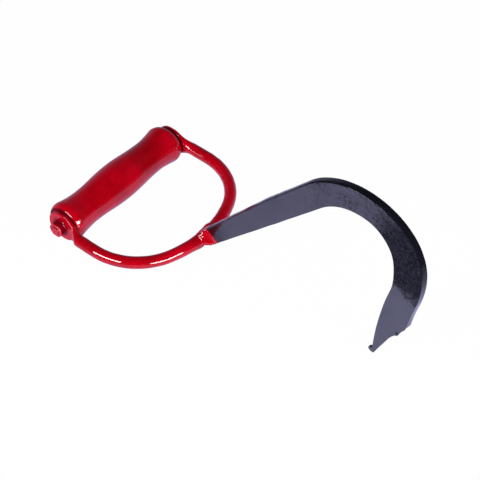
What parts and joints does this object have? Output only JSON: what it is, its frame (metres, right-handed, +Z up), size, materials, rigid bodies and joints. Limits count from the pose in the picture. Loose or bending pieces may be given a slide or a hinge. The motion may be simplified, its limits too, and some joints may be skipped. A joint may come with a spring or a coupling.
{
  "type": "pulp hook",
  "caption": "Hand hook for dragging pulpwood: a flat steel hook blade welded to a bent rod D-handle, with a turned wooden grip that rolls on a through bolt.",
  "frame": {"origin": "on the ground, at the middle of the object's length and of its width, with the tool lying on the grip's two flares and on the point", "axes": "+X from the grip towards the hook's crown, along the length; +Y along the grip, from the nut to the bolt head; +Z up, with the blade standing upright in the XZ plane"},
  "size_m": [0.2896, 0.1404, 0.1422],
  "materials": {
    "blade_paint": "thick black gloss enamel over a pitted steel bar, with the handle's red running on to its welded end",
    "frame_paint": "red gloss enamel brushed over rod, eyes, weld, bolt head and nut",
    "grip_paint": "turned hardwood under red gloss enamel"
  },
  "bodies": {
    "frame": {"hook_blade": "blade_paint", "d_frame": "frame_paint", "weld_bead": "frame_paint", "grip_bolt": "frame_paint", "grip_nut": "frame_paint"},
    "grip": {"grip": "grip_paint"}
  },
  "joints": [
    {"name": "grip_roll", "type": "hinge", "parent": "frame", "child": "grip", "pos_m": [-0.129, 0, 0.0158], "axis": [0, 1, 0], "continuous": true}
  ]
}
